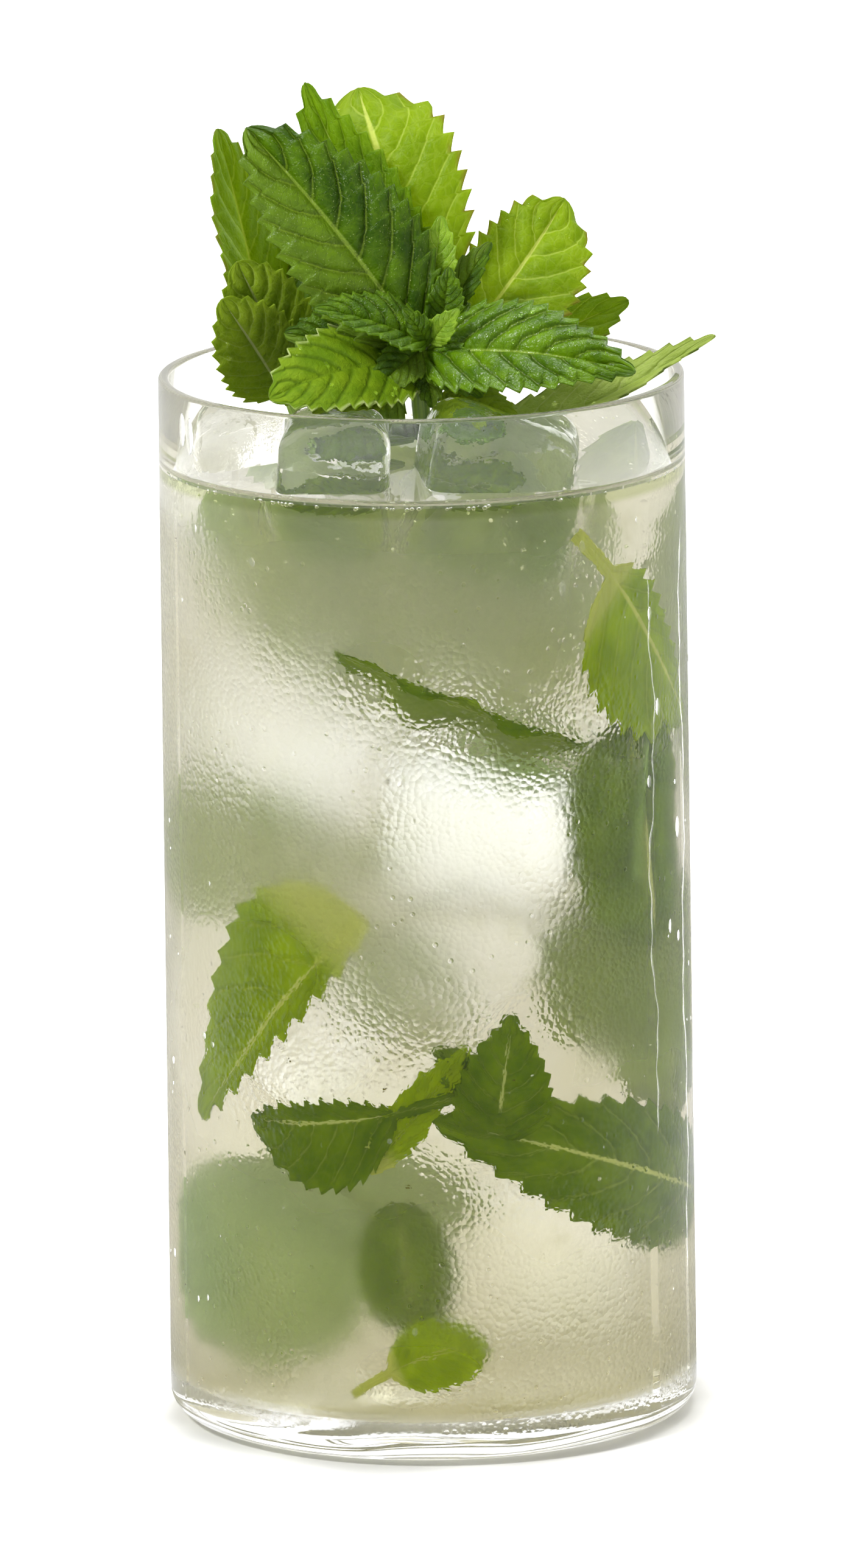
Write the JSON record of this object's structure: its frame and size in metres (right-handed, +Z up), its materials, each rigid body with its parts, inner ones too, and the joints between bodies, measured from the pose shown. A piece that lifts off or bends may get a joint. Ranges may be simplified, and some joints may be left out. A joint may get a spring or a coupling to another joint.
{
  "type": "mojito cocktail",
  "caption": "Iced mint cocktail in a straight tall clear glass, filled almost to the rim, with ice and a leafy mint sprig standing out of the top.",
  "frame": {"origin": "on the glass's axis, in the plane it stands on", "axes": "+Z up along the glass's axis, -Y towards the viewer of the pictured front, +X to that viewer's right"},
  "size_m": [0.0812, 0.077, 0.1946],
  "materials": {
    "glass": "clear polished glass, misted with fine condensation below the drink's level",
    "drink": "pale yellow-green lime and soda drink with fine pulp and bubbles",
    "ice": "clear, slightly melted ice with white cracks",
    "stem": "fresh green mint stem",
    "leaf_upper": "dark green quilted upper side of a mint leaf, lightly glossy",
    "leaf_backlit": "bright yellow-green thin mint leaf with light passing through it",
    "leaf_underside": "olive green leaf underside with a pale raised midrib"
  },
  "bodies": {
    "root": {"glass": "glass", "drink": "drink", "ice_front_left": "ice", "ice_front_right": "ice", "ice_left": "ice", "stem_main": "stem", "stem_side": "stem", "leaf_front_left": "leaf_upper", "leaf_back_left": "leaf_upper", "leaf_back_centre": "leaf_backlit", "leaf_far_left": "leaf_backlit", "leaf_left_upper": "leaf_underside", "leaf_left_lower": "leaf_underside", "leaf_shaded": "leaf_upper", "leaf_front_low": "leaf_upper", "leaf_front_small": "leaf_upper", "leaf_bud_left": "leaf_upper", "leaf_bud_top": "leaf_upper", "leaf_bud_right": "leaf_upper", "leaf_right_upper": "leaf_backlit", "leaf_right_front": "leaf_upper", "leaf_right_back": "leaf_backlit", "leaf_far_right": "leaf_underside"}
  },
  "joints": []
}
